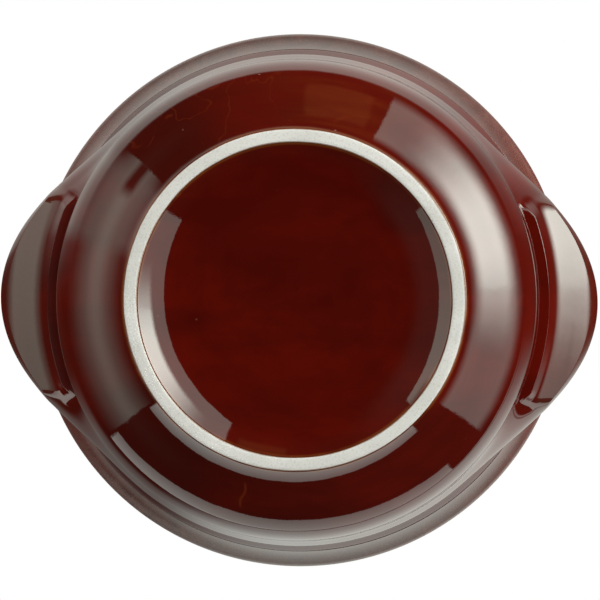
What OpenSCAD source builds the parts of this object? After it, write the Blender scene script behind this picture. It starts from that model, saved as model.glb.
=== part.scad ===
// A glazed stoneware soup crock with two lug handles, standing on its bare foot ring.
// Millimetres. Z is up, the table is z = 0, and the handles point along X.
// Outlines are lists of [radius, height] points, turned about the Z axis.
// Clay is always to the left of an outline as it runs from the foot, over the lip, to the floor.

/* [Overall size] */
// Width across the rim where it is widest
rim_width = 129.2; // [126:0.2:138]
// Height from the table to the top of the lip
total_height = 66.5; // [60:0.5:76]

/* [Foot] */
// Width across the outside of the bare foot ring
foot_width = 76.9; // [70:0.1:82]
// Width of the ring's bare face, between its two glaze lines
foot_face = 2.95; // [2:0.05:4]
// Rounding of the ring's two edges
foot_edge = 0.3; // [0.2:0.05:0.6]
// Depth of the recess inside the ring
recess_depth = 3.4; // [2.4:0.1:4.4]
// Width of the flat middle of the recess
recess_flat_width = 48.4; // [40:0.2:56]

/* [Belly] */
// How far the side wall's widest line stays inside the rim's
belly_inset = 6.2; // [5:0.1:9]
// Height of the bend between the hollow flare and the round corner
flare_height = 5.6; // [4.6:0.1:6.6]
// Height where the round corner begins
corner_start_height = 10.5; // [9:0.1:12]
// How far in from the foot of the side wall the round corner begins
corner_run = 3.15; // [2.4:0.05:5]
// Height where the corner has turned into the side wall
corner_height = 17; // [15:0.1:20]
// How far the side wall leans out between the corner and the foot of the shoulder
wall_lean = 1.3; // [0.8:0.1:2]
// How far the shoulder swells out from its foot to the widest line
shoulder_swell = 1.8; // [1:0.1:2.4]
// Height of the shoulder from its foot to the widest line
shoulder_rise = 8.5; // [7:0.1:10]
// Height from the neck down to the widest line
shoulder_depth = 5.1; // [4.4:0.1:7]
// How far the neck draws in from the widest line
neck_draw = 1; // [0.6:0.1:2]

/* [Rim] */
// Height of the rim band, from its lower line to the lip
band_height = 13.1; // [11:0.1:15]
// How far the rim stands out past the band's lower line
band_overhang = 4.2; // [3:0.1:5]
// Height from the band's lower line up to where its flare turns into the lip's edge
band_flare_height = 4.8; // [4:0.1:5.6]
// How far the lip's edge stands out past the end of the flare
edge_round = 0.8; // [0.5:0.1:1.2]
// Height from the band's lower line down to the neck
cove_height = 5.8; // [5:0.1:6.6]
// Thickness of the lip
lip_thickness = 4.6; // [4:0.1:6]
// Height from the rim's widest line up to the top of the lip
lip_rise = 5; // [4:0.1:6]

/* [Walls] */
// Thickness of the side wall, glaze included
wall_thickness = 5.2; // [4:0.1:6.5]
// Thickness of the floor, glaze included
floor_thickness = 5.4; // [4:0.1:7]
// Width of the flat floor inside
floor_width = 68; // [56:1:76]
// Height of the round corner inside
inner_corner_height = 14.6; // [12:0.1:17]
// Thickness of the fired glaze coat
glaze_thickness = 0.4; // [0.2:0.05:0.6]

/* [Handles] */
// How far each handle stands out past the rim
handle_reach = 6.4; // [5:0.1:10]
// Height of a handle where it joins the wall
handle_depth = 17.4; // [15:0.1:19]
// How far below the rim band's lower line a handle's top joins the wall
handle_drop = 2; // [1.2:0.1:4]
// Width of the nearly level ledge by the wall
ledge_width = 2.4; // [1.8:0.1:3]
// How far the ledge climbs over its width
ledge_rise = 0.25; // [0.15:0.05:0.35]
// Width of the step from the ledge to the hollow of the underside
step_width = 1.4; // [1.1:0.1:1.7]
// Height of the step
step_rise = 1.8; // [1.5:0.1:2.1]
// How far the middle of the outer edge sits above the underside's root
handle_rise = 10.2; // [9.4:0.1:11]
// Thickness of the outer edge under its widest line
edge_below = 3.3; // [2.8:0.1:3.8]
// Thickness of the outer edge over its widest line
edge_above = 2.6; // [1.8:0.1:3.4]
// Angle of the wall that a handle spreads over
handle_angle = 104; // [90:1:116]

/* [Hidden] */

// Clearance between a handle and the wall that it sits on
seat_gap = 0.03;
// Distance that a cutting shape runs past what it cuts
overrun = 1;
// Points along each bend of an outline, and steps along and across a handle
bend_steps = 9;
handle_columns = 28;
ledge_steps = 2;
step_steps = 3;
hollow_steps = 4;
edge_steps = 3;
top_steps = 4;
$fn = 96;

clay_colour = "#d8d2c4";
glaze_colour = "#5c140b";
rim_colour = "#6b2c1c";

// Slopes of the outline where two bends meet, in degrees from level, in the running direction
foot_slope = 47;
flare_slope = 28;
corner_start_slope = 44;
wall_slope = 84;
waist_slope = 85;
cove_slope = 56;
band_slope = 64;
band_flare_slope = 45;
throat_slope = 252;
inner_wall_slope = 266;
under_root_slope = 4;
ledge_slope = 9;
step_slope = 40;
under_edge_slope = 41;
top_edge_slope = 170;
top_root_slope = 152;
// Share of the way from the foot to the round corner where the hollow flare ends
flare_share = 0.507;
// Share of a bend's chord that each of its two pulls takes
pull_share = 0.36;
// How far in under the edge its lower bend ends, as a share of that bend's height
edge_tuck = 0.56;
// How sharply a handle's sides draw in towards its middle
swell_power = 1.58;
// Shares of a handle's half angle between which its underside turns into a smooth flank
flank_start_share = 0.31;
flank_end_share = 0.5;
smallest_share = 0.01;

rim_r = rim_width / 2;
belly_r = rim_r - belly_inset;
foot_r = foot_width / 2;
foot_inner_r = foot_r - foot_face;
recess_flat_r = recess_flat_width / 2;
waist_r = belly_r - shoulder_swell;
corner_r = waist_r - wall_lean;
corner_start_r = corner_r - corner_run;
flare_r = foot_r + flare_share * (corner_start_r - foot_r);
neck_r = belly_r - neck_draw;
band_r = rim_r - band_overhang;
band_z = total_height - band_height;
neck_z = band_z - cove_height;
belly_z = neck_z - shoulder_depth;
waist_z = belly_z - shoulder_rise;
floor_z = recess_depth + floor_thickness;
inner_corner_z = floor_z + inner_corner_height;
throat_r = neck_r - wall_thickness + neck_draw;
// The foot ring's seat under the bowl is level with the clay over the recess.
joint_z = recess_depth + glaze_thickness;

handle_top_z = band_z - handle_drop;
handle_root_z = handle_top_z - handle_depth;
handle_edge_z = handle_root_z + handle_rise;
handle_edge_r = rim_r + handle_reach;
half_angle = handle_angle / 2;
column_angle = handle_angle / handle_columns;
// A flat facet's corners stand this much further out than its middle.
facet_share = 1 / cos(column_angle / 2);

function heading(slope) = [cos(slope), sin(slope)];

function curve_point(a, b, c, d, t) =
    pow(1 - t, 3) * a + 3 * pow(1 - t, 2) * t * b + 3 * (1 - t) * t * t * c + pow(t, 3) * d;

// A smooth bend from one point and slope to the next, without its first point.
function bend(from, from_slope, to, to_slope, steps = bend_steps) =
    let (reach = pull_share * norm(to - from))
    [for (i = [1:steps])
        curve_point(
            from,
            from + reach * heading(from_slope),
            to - reach * heading(to_slope),
            to,
            i / steps
        )];

// Direction square to an outline at one of its points, towards the clay.
function inward(path, i) =
    let (
        before = path[max(i - 1, 0)],
        after = path[min(i + 1, len(path) - 1)],
        along = (after - before) / norm(after - before)
    )
    [-along.y, along.x];

// The clay's outline under a coat of glaze, without its two ends.
function under_glaze(path) =
    [for (i = [1:len(path) - 2]) path[i] + glaze_thickness * inward(path, i)];

function reversed(path) = [for (i = [len(path) - 1:-1:0]) path[i]];

function above(path, z) = [for (p = path) if (p.y > z) p];
function between(path, low, high) = [for (p = path) if (p.y > low && p.y < high) p];

// Radius of a rising outline at a height.
function radius_at(path, z) = lookup(z, [for (p = path) [p.y, p.x]]);

// Glazed outline of the outside, from the foot's glaze line up to the rim band.
foot_line = [foot_r, foot_edge];
flare_point = [flare_r, flare_height];
corner_start = [corner_start_r, corner_start_height];
corner_end = [corner_r, corner_height];
waist_point = [waist_r, waist_z];
belly_point = [belly_r, belly_z];
neck_point = [neck_r, neck_z];
band_line = [band_r, band_z];
outside = concat(
    [foot_line],
    bend(foot_line, foot_slope, flare_point, flare_slope),
    bend(flare_point, flare_slope, corner_start, corner_start_slope),
    bend(corner_start, corner_start_slope, corner_end, wall_slope),
    bend(corner_end, wall_slope, waist_point, waist_slope),
    bend(waist_point, waist_slope, belly_point, 90),
    bend(belly_point, 90, neck_point, 90),
    bend(neck_point, 90, band_line, cove_slope)
);

// Glazed outline of the rim, over the lip to the throat.
band_flare = [rim_r - edge_round, band_z + band_flare_height];
rim_edge = [rim_r, total_height - lip_rise];
lip_top = [rim_r - lip_thickness / 2, total_height];
lip_inside = [rim_r - lip_thickness, total_height - lip_rise];
throat_line = [throat_r, band_z];
over_rim = concat(
    [band_line],
    bend(band_line, band_slope, band_flare, band_flare_slope),
    bend(band_flare, band_flare_slope, rim_edge, 90),
    bend(rim_edge, 90, lip_top, 180),
    bend(lip_top, 180, lip_inside, 270),
    bend(lip_inside, 270, throat_line, throat_slope)
);

// Glazed outline of the inside, from the throat down to the middle of the floor.
inner_neck = [neck_r - wall_thickness, neck_z];
inner_wall_foot = [corner_r - wall_thickness, inner_corner_z];
floor_edge = [floor_width / 2, floor_z];
inside = concat(
    [throat_line],
    bend(throat_line, throat_slope, inner_neck, 270),
    bend(inner_neck, 270, inner_wall_foot, inner_wall_slope),
    bend(inner_wall_foot, inner_wall_slope, floor_edge, 180),
    [[0, floor_z]]
);

// Glazed outline of the recess, from its middle to the ring's inner glaze line.
// Its outer part is close to an arc that starts level, so it ends at twice its chord's slope.
recess_edge = [recess_flat_r, recess_depth];
recess_line = [foot_inner_r, foot_edge];
recess_slope = 2 * atan((recess_line.y - recess_edge.y) / (recess_line.x - recess_edge.x));
recess = concat(
    [[0, recess_depth], recess_edge],
    bend(recess_edge, 0, recess_line, recess_slope)
);

// The same four outlines on the clay. The glaze thins to nothing at the foot's glaze lines.
clay_band_r = band_r - glaze_thickness;
clay_throat_r = throat_r + glaze_thickness;
clay_band_line = [clay_band_r, band_z];
clay_throat_line = [clay_throat_r, band_z];
clay_outside = concat(
    [foot_line],
    between(under_glaze(outside), foot_edge, band_z),
    [clay_band_line]
);
clay_over_rim = concat(
    [clay_band_line],
    between(under_glaze(over_rim), band_z, total_height),
    [clay_throat_line]
);
clay_inside = concat([clay_throat_line], under_glaze(inside), [[0, floor_z - glaze_thickness]]);
clay_recess = concat([[0, joint_z]], under_glaze(recess), [recess_line]);

joint_outer = [radius_at(clay_outside, joint_z), joint_z];
joint_inner = [recess_flat_r, joint_z];

// Bare underside of the foot ring, from its inner glaze line to its outer one.
bare_foot = [
    recess_line,
    [foot_inner_r + foot_edge / 3, foot_edge / 3],
    [foot_inner_r + foot_edge, 0],
    [foot_r - foot_edge, 0],
    [foot_r - foot_edge / 3, foot_edge / 3],
    foot_line
];

// One handle's glazed outline at its middle, from the root, round the edge, to its top.
handle_root = [radius_at(outside, handle_root_z), handle_root_z];
handle_top = [radius_at(outside, handle_top_z), handle_top_z];
ledge_end = handle_root + [ledge_width, ledge_rise];
step_end = ledge_end + [step_width, step_rise];
edge_point = [handle_edge_r, handle_edge_z];
edge_under = edge_point - [edge_below * edge_tuck, edge_below];
edge_over = edge_point + [-edge_above * 2 / 3, edge_above];
rib = concat(
    [handle_root],
    bend(handle_root, under_root_slope, ledge_end, ledge_slope, ledge_steps),
    bend(ledge_end, ledge_slope, step_end, step_slope, step_steps),
    bend(step_end, step_slope, edge_under, under_edge_slope, hollow_steps),
    bend(edge_under, under_edge_slope, edge_point, 90, edge_steps),
    bend(edge_point, 90, edge_over, top_edge_slope, edge_steps),
    bend(edge_over, top_edge_slope, handle_top, top_root_slope, top_steps)
);
rib_last = len(rib) - 1;
// Rows of the points where the underside ends, where the edge is widest and where the top begins
under_row = ledge_steps + step_steps + hollow_steps;
edge_row = under_row + edge_steps;
top_row = edge_row + edge_steps;

// The clay's outline under it. Its first two and last two points lie on the clay wall.
function on_clay_wall(z) = [radius_at(clay_outside, z), z];
clay_rib = [
    on_clay_wall(handle_root_z),
    on_clay_wall(handle_root_z + glaze_thickness),
    for (i = [2:rib_last - 2]) rib[i] + glaze_thickness * inward(rib, i),
    on_clay_wall(handle_top_z - glaze_thickness),
    on_clay_wall(handle_top_z)
];

// A handle swells out of the wall as a power of a raised cosine of the angle from its middle.
function swell(column) =
    let (angle = -half_angle + column * column_angle)
    pow((1 + cos(180 * angle / half_angle)) / 2, swell_power);

// How far a section's point stands out of the wall, and the most that any of its points does.
function out_of(section, wall, i) = section[i].x - radius_at(wall, section[i].y);
function reach_of(section, wall) = max([for (i = [0:rib_last]) out_of(section, wall, i)]);
rib_reach = reach_of(rib, outside);
clay_rib_reach = reach_of(clay_rib, clay_outside);

// The same where the handle has only a share of its reach. The part by the wall keeps its width.
function kept_out(section, wall, reach, share, i) =
    let (left = max(1 - out_of(section, wall, i) / reach, 0))
    reach * share * (1 - pow(left, 1 / max(share, smallest_share)));

// How much of the outer edge's drop a row takes part in.
function drop_share(i) = i <= top_row ? 1 : max(rib_last - 1 - i, 0) / (rib_last - 1 - top_row);

// Height of a row where the outline cuts the underside short. The underside is a turned surface.
function cut_height(section, wall, reach, share, i) =
    let (
        under = [for (k = [0:under_row]) section[k]],
        k = min(i, under_row),
        r = radius_at(wall, section[k].y) + kept_out(section, wall, reach, share, k),
        z = lookup(r, under)
    )
    i <= under_row ? z : section[i].y - drop_share(i) * (section[under_row].y - z);

// How much a column belongs to a handle's smooth flank.
function flank(column) =
    let (
        spread = abs(-half_angle + column * column_angle) / half_angle,
        t = (spread - flank_start_share) / (flank_end_share - flank_start_share),
        held = min(max(t, 0), 1)
    )
    held * held * (3 - 2 * held);

// Height of a row in the flank, which swells out of the wall without a ledge.
function flank_height(section, i) =
    let (low = section[0].y, edge = section[edge_row].y, top = section[rib_last].y)
    i <= edge_row
        ? low + (belly_z - low) * i / edge_row
        : belly_z + (section[i].y - edge) * (top - belly_z) / (top - edge);

function flank_out(section, wall, share, i) =
    let (way = max(i - 1, 0) / (edge_row - 1))
    i <= edge_row
        ? out_of(section, wall, edge_row) * share * sin(90 * way)
        : out_of(section, wall, i) * share;

function handle_height(section, wall, reach, column, i) =
    let (cut = cut_height(section, wall, reach, swell(column), i))
    cut + (flank_height(section, i) - cut) * flank(column);

function handle_out(section, wall, reach, column, i) =
    let (
        share = swell(column),
        shift = radius_at(wall, section[i].y)
            - radius_at(wall, cut_height(section, wall, reach, share, i)),
        cut = kept_out(section, wall, reach, share, i) + shift * (i <= under_row ? 1 : drop_share(i))
    )
    cut + (flank_out(section, wall, share, i) - cut) * flank(column);

// A point at a column, moved out of the wall. With nothing to move, it lies on the wall.
function column_point(wall, column, z, out) =
    let (
        angle = -half_angle + column * column_angle,
        r = radius_at(wall, z) * facet_share + seat_gap + out
    )
    [r * cos(angle), r * sin(angle), z];

function handle_point(section, wall, reach, column, i) =
    column_point(
        wall,
        column,
        handle_height(section, wall, reach, column, i),
        handle_out(section, wall, reach, column, i)
    );

function glaze_point(column, i) = handle_point(rib, outside, rib_reach, column, i);
function clay_point(column, i) =
    handle_point(clay_rib, clay_outside, clay_rib_reach, column, i);
function seat_point(column, i) =
    let (z = handle_height(clay_rib, clay_outside, clay_rib_reach, column, i))
    column_point(clay_outside, column, z, 0);

// Two triangles of a grid's cell, split so that a corner cell's cut starts at its corner.
function cell(a, b, c, d, rising) = rising ? [[a, b, c], [a, c, d]] : [[a, b, d], [b, c, d]];

module turned(outline) {
    rotate_extrude() polygon(outline);
}

// A handle's clay: a front grid, and a back grid on the wall that shares its border.
module handle_clay() {
    first = 1;
    last = rib_last - 1;
    rows = last - first + 1;
    columns = handle_columns + 1;
    front = [for (c = [0:handle_columns]) for (i = [first:last]) clay_point(c, i)];
    back = [for (c = [0:handle_columns]) for (i = [first:last]) seat_point(c, i)];
    function at(c, i) = c * rows + i;
    function behind(c, i) =
        c == 0 || c == handle_columns || i == 0 || i == rows - 1
            ? at(c, i)
            : columns * rows + at(c, i);
    faces = [
        for (c = [0:handle_columns - 1])
            for (i = [0:rows - 2])
                let (rising = (c < handle_columns / 2) == (i < (rows - 1) / 2))
                for (
                    f = concat(
                        cell(at(c, i), at(c, i + 1), at(c + 1, i + 1), at(c + 1, i), rising),
                        [for (t = cell(
                            behind(c, i),
                            behind(c, i + 1),
                            behind(c + 1, i + 1),
                            behind(c + 1, i),
                            rising
                        )) [t[2], t[1], t[0]]]
                    )
                ) f
    ];
    polyhedron(points = concat(front, back), faces = faces, convexity = 6);
}

// A handle's glaze: an outer grid and the clay's grid, closed round their border.
module handle_coat() {
    rows = rib_last + 1;
    columns = handle_columns + 1;
    outer = [for (c = [0:handle_columns]) for (i = [0:rib_last]) glaze_point(c, i)];
    inner = [for (c = [0:handle_columns]) for (i = [0:rib_last]) clay_point(c, i)];
    function out_at(c, i) = c * rows + i;
    function in_at(c, i) = columns * rows + c * rows + i;
    skins = [
        for (c = [0:handle_columns - 1])
            for (i = [0:rows - 2])
                let (rising = (c < handle_columns / 2) == (i < (rows - 1) / 2))
                for (
                    f = concat(
                        cell(
                            out_at(c, i),
                            out_at(c, i + 1),
                            out_at(c + 1, i + 1),
                            out_at(c + 1, i),
                            rising
                        ),
                        [for (t = cell(
                            in_at(c, i),
                            in_at(c, i + 1),
                            in_at(c + 1, i + 1),
                            in_at(c + 1, i),
                            rising
                        )) [t[2], t[1], t[0]]]
                    )
                ) f
    ];
    ends = [
        for (side = [0, 1])
            for (i = [0:rows - 2])
                let (
                    c = side * handle_columns,
                    f = cell(in_at(c, i), in_at(c, i + 1), out_at(c, i + 1), out_at(c, i), true)
                )
                for (t = f) side == 0 ? t : [t[2], t[1], t[0]]
    ];
    edges = [
        for (side = [0, 1])
            for (c = [0:handle_columns - 1])
                let (
                    i = side * rib_last,
                    f = cell(out_at(c, i), out_at(c + 1, i), in_at(c + 1, i), in_at(c, i), true)
                )
                for (t = f) side == 0 ? t : [t[2], t[1], t[0]]
    ];
    polyhedron(points = concat(outer, inner), faces = concat(skins, ends, edges), convexity = 6);
}

// The patch of the outer coat that a handle's own coat takes the place of.
module handle_window() {
    rotate([0, 0, -half_angle])
        rotate_extrude(angle = handle_angle)
            polygon([
                [corner_r - wall_thickness, handle_root_z],
                [rim_r + overrun, handle_root_z],
                [rim_r + overrun, handle_top_z],
                [corner_r - wall_thickness, handle_top_z]
            ]);
}

// Thrown wall and floor, from the foot ring's seat up to the rim band.
module bowl_body() {
    color(clay_colour)
        turned(concat(
            [[0, joint_z], joint_outer],
            above(clay_outside, joint_z),
            clay_inside
        ));
}

// Ring that the crock stands on, bare clay on its face.
module foot_ring() {
    color(clay_colour)
        turned(concat(
            [joint_inner],
            [for (i = [2:len(clay_recess) - 1]) clay_recess[i]],
            [for (i = [1:len(bare_foot) - 1]) bare_foot[i]],
            [for (i = [1:len(clay_outside) - 1]) if (clay_outside[i].y < joint_z) clay_outside[i]],
            [joint_outer]
        ));
}

// Thick band round the mouth, from its lower line over the lip to the throat.
module rim_band() {
    color(clay_colour) turned(clay_over_rim);
}

// Lug handle on the -X side.
module handle_left() {
    color(clay_colour) rotate([0, 0, 180]) handle_clay();
}

// Lug handle on the +X side.
module handle_right() {
    color(clay_colour) handle_clay();
}

// Coat on the outside wall, open where the handles grow out of it.
module outer_glaze() {
    color(glaze_colour)
        difference() {
            turned(concat(outside, reversed([for (i = [1:len(clay_outside) - 1]) clay_outside[i]])));
            handle_window();
            rotate([0, 0, 180]) handle_window();
        }
}

// Coat over the rim band and the lip.
module rim_glaze() {
    color(rim_colour) turned(concat(over_rim, reversed(clay_over_rim)));
}

// Coat on the inside wall and floor.
module inner_glaze() {
    color(glaze_colour) turned(concat(inside, reversed(clay_inside)));
}

// Coat in the recess under the floor.
module base_glaze() {
    color(glaze_colour)
        turned(concat(recess, reversed([for (i = [0:len(clay_recess) - 2]) clay_recess[i]])));
}

// Coat over the -X handle.
module handle_glaze_left() {
    color(glaze_colour) rotate([0, 0, 180]) handle_coat();
}

// Coat over the +X handle.
module handle_glaze_right() {
    color(glaze_colour) handle_coat();
}

bowl_body();
foot_ring();
rim_band();
handle_left();
handle_right();
outer_glaze();
rim_glaze();
inner_glaze();
base_glaze();
handle_glaze_left();
handle_glaze_right();
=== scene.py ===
"""A glazed stoneware soup crock with two lug handles, seen from straight below its foot ring."""
import math

import bpy
import numpy as np
from mathutils import Matrix, Vector


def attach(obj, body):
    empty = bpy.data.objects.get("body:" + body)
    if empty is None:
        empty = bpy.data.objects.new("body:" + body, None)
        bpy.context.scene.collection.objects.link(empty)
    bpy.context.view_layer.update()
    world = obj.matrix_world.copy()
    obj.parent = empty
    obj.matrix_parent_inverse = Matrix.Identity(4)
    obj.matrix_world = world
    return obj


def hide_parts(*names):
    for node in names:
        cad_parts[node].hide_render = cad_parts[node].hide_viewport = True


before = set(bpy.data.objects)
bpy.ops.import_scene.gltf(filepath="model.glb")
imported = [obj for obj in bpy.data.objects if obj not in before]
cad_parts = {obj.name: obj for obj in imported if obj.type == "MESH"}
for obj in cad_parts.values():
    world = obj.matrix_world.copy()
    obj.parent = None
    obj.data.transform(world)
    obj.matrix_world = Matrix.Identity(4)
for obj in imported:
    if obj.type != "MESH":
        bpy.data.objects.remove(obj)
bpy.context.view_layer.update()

MM = 0.001

# Sizes of the crock in millimetres, as its solids have them. Pairs are radius and height.
RIM_R = 64.6
TOTAL_HEIGHT = 66.5
FOOT_R = 38.45
FOOT_FACE = 2.95
FOOT_EDGE = 0.3
RECESS_DEPTH = 3.4
RECESS_FLAT_R = 24.2
FLARE = (45.396, 5.6)
CORNER_START = (52.15, 10.5)
CORNER_END = (55.3, 17.0)
WAIST = (56.6, 34.0)
BELLY = (58.4, 42.5)
NECK = (57.4, 47.6)
BAND = (60.4, 53.4)
BAND_FLARE = (63.8, 58.2)
LIP_THICKNESS = 4.6
LIP_RISE = 5.0
WALL = 5.2
THROAT = (53.2, 53.4)
FLOOR_Z = 8.8
FLOOR_R = 34.0
INNER_CORNER_Z = 23.4
GLAZE = 0.4
HANDLE_TOP_Z = 51.4
HANDLE_ROOT_Z = 34.0
HANDLE_EDGE = (71.0, 44.2)
HANDLE_HALF_ANGLE = 52.0

# A visible coat is a little thinner than the solid's, so that its back stays off the clay.
COAT = GLAZE * 0.9

# Slopes at those places in degrees, on a path from the foot, over the lip, to the floor.
OUTWARD, UPWARD, INWARD, DOWNWARD = 0, 90, 180, 270
FOOT_SLOPE = 47
FLARE_SLOPE = 28
CORNER_START_SLOPE = 44
CORNER_END_SLOPE = 84
WAIST_SLOPE = 85
NECK_TOP_SLOPE = 56
BAND_SLOPE = 64
BAND_FLARE_SLOPE = 45
THROAT_SLOPE = 252
INNER_WALL_SLOPE = 266

# The handle's section, from the wall outward. The solid's is plainer at its underside and ends.
FILLET = 0.02
CREASE = 0.01
LEDGE_WIDTH = 2.4
LEDGE_RISE = 0.25
STEP_WIDTH = 1.4
STEP_RISE = 1.8
SOFT_WIDTH = 1.2
SOFT_RISE = 1.02
EDGE_BELOW = 3.3
EDGE_TUCK = 0.56
EDGE_ABOVE = 2.6
LEDGE_START_SLOPE = 4
LEDGE_END_SLOPE = 9
STEP_START_SLOPE = 50
STEP_END_SLOPE = 45
SOFT_SLOPE = 36
UNDER_SLOPE = 41
EDGE_OVER_SLOPE = 170
HANDLE_TOP_SLOPE = 152
# Rise for each millimetre outward at three of those slopes.
LEDGE_START_TILT = 0.07
LEDGE_END_TILT = 0.16
STEP_START_TILT = 1.2

# How the handle's section changes towards its two ends.
SWELL_POWER = 1.58
EDGE_POWER = 1.45
FLANK_START_SHARE = 0.385
FLANK_END_SHARE = 0.475
LEDGE_END_SHARE = 0.12
SMALLEST_SHARE = 0.01

# How far a bend's control points lie from its ends, as a share of its chord.
PULL_SHARE = 0.36

# Mesh density: columns round the axis, steps along each bend, and radii of rows on flat faces.
COLUMNS = 720
BEND_STEPS = 22
RIB_STEPS = 20
FILLET_STEPS = 4
COVE_STEPS = 30
RIM_EDGE_STEPS = 20
RECESS_STEPS = 40
FLOOR_ROWS = (28, 22, 16, 11, 7, 4, 2, 0)
RECESS_ROWS = (0, 2, 4, 7, 11, 15, 19, 22, RECESS_FLAT_R)

# Slow unevenness: how many waves add up, and in millimetres how far the wall swings, how long
# the waves are, and over what height the wall's swing fades at its foot and at the rim band.
WAVES = 7
WALL_UNEVEN = 0.035
WALL_WAVE = 7
WALL_SEED = 11
FOOT_FADE = 4
BAND_FADE = 2
TURNED_WAVE = 9
TURNED_UNEVEN_R = 60

# The wall's own rows stop this far below and above the handles' rows.
GAP_BELOW_HANDLE = 0.05
GAP_ABOVE_HANDLE = 0.25


# Outlines


def heading(slope):
    """Unit direction at a slope in degrees from level."""
    a = math.radians(slope)
    return np.array([math.cos(a), math.sin(a)])


def bend(start, start_slope, end, end_slope, steps=BEND_STEPS):
    """A smooth bend between two points and slopes, without its first point."""
    a, d = np.array(start, float), np.array(end, float)
    reach = PULL_SHARE * np.linalg.norm(d - a)
    b = a + reach * heading(start_slope)
    c = d - reach * heading(end_slope)
    t = np.linspace(0, 1, steps + 1)[1:, None]
    curve = (1 - t) ** 3 * a + 3 * (1 - t) ** 2 * t * b + 3 * (1 - t) * t**2 * c + t**3 * d
    return [tuple(p) for p in curve]


def radius_at(path, z):
    """Radius of a rising outline at each height."""
    path = np.array(path)
    return np.interp(z, path[:, 1], path[:, 0])


def offset(path, distance):
    """The outline moved by a distance towards its left side."""
    path = np.array(path, float)
    along = np.empty_like(path)
    along[1:-1] = path[2:] - path[:-2]
    along[0], along[-1] = path[1] - path[0], path[-1] - path[-2]
    along /= np.linalg.norm(along, axis=1)[:, None]
    return path + distance * np.stack([-along[:, 1], along[:, 0]], axis=1)


foot_line = (FOOT_R, FOOT_EDGE)
outside = (
    [foot_line]
    + bend(foot_line, FOOT_SLOPE, FLARE, FLARE_SLOPE)
    + bend(FLARE, FLARE_SLOPE, CORNER_START, CORNER_START_SLOPE)
    + bend(CORNER_START, CORNER_START_SLOPE, CORNER_END, CORNER_END_SLOPE)
    + bend(CORNER_END, CORNER_END_SLOPE, WAIST, WAIST_SLOPE)
    + bend(WAIST, WAIST_SLOPE, BELLY, UPWARD)
    + bend(BELLY, UPWARD, NECK, UPWARD)
    + bend(NECK, UPWARD, BAND, NECK_TOP_SLOPE)
)

rim_edge = (RIM_R, TOTAL_HEIGHT - LIP_RISE)
lip_top = (RIM_R - LIP_THICKNESS / 2, TOTAL_HEIGHT)
lip_inside = (RIM_R - LIP_THICKNESS, TOTAL_HEIGHT - LIP_RISE)
over_rim = (
    [BAND]
    + bend(BAND, BAND_SLOPE, BAND_FLARE, BAND_FLARE_SLOPE, COVE_STEPS)
    + bend(BAND_FLARE, BAND_FLARE_SLOPE, rim_edge, UPWARD, RIM_EDGE_STEPS)
    + bend(rim_edge, UPWARD, lip_top, INWARD)
    + bend(lip_top, INWARD, lip_inside, DOWNWARD)
    + bend(lip_inside, DOWNWARD, THROAT, THROAT_SLOPE)
)

inner_neck = (NECK[0] - WALL, NECK[1])
inner_corner = (CORNER_END[0] - WALL, INNER_CORNER_Z)
inside = (
    [THROAT]
    + bend(THROAT, THROAT_SLOPE, inner_neck, DOWNWARD)
    + bend(inner_neck, DOWNWARD, inner_corner, INNER_WALL_SLOPE)
    + bend(inner_corner, INNER_WALL_SLOPE, (FLOOR_R, FLOOR_Z), INWARD)
    + [(r, FLOOR_Z) for r in FLOOR_ROWS]
)

ring_inner = (FOOT_R - FOOT_FACE, FOOT_EDGE)
recess_edge = (RECESS_FLAT_R, RECESS_DEPTH)
recess_slope = 2 * math.degrees(
    math.atan((FOOT_EDGE - RECESS_DEPTH) / (ring_inner[0] - RECESS_FLAT_R))
)
recess = (
    [(r, RECESS_DEPTH) for r in RECESS_ROWS]
    + bend(recess_edge, OUTWARD, ring_inner, recess_slope, RECESS_STEPS)
)

# The handle's outline at its middle: root, underside, edge, top.
handle_root = (float(radius_at(outside, HANDLE_ROOT_Z)), HANDLE_ROOT_Z)
handle_top = (float(radius_at(outside, HANDLE_TOP_Z)), HANDLE_TOP_Z)
ledge_end = (handle_root[0] + LEDGE_WIDTH, handle_root[1] + LEDGE_RISE)
step_end = (ledge_end[0] + STEP_WIDTH, ledge_end[1] + STEP_RISE)
soft_start = (step_end[0] + SOFT_WIDTH, step_end[1] + SOFT_RISE)
edge_under = (HANDLE_EDGE[0] - EDGE_BELOW * EDGE_TUCK, HANDLE_EDGE[1] - EDGE_BELOW)
edge_over = (HANDLE_EDGE[0] - EDGE_ABOVE * 2 / 3, HANDLE_EDGE[1] + EDGE_ABOVE)
fillet_start = (float(radius_at(outside, HANDLE_ROOT_Z - FILLET)), HANDLE_ROOT_Z - FILLET)
fillet_end = (handle_root[0] + FILLET, handle_root[1] + LEDGE_START_TILT * FILLET)


def fillet_point(u):
    """A point on the tiny round between the wall and the ledge, from 0 at the wall to 1."""
    a, b, c = np.array(fillet_start), np.array(handle_root), np.array(fillet_end)
    return tuple((1 - u) ** 2 * a + 2 * u * (1 - u) * b + u**2 * c)


fillet = [fillet_point(u) for u in np.linspace(0, 1, FILLET_STEPS + 1)[:-1]]
ledge = [handle_root] + bend(
    handle_root, LEDGE_START_SLOPE, ledge_end, LEDGE_END_SLOPE, RIB_STEPS
)
ledge_from = fillet_end[0] + 2 * CREASE
ledge_to = ledge_end[0] - 2 * CREASE
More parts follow.
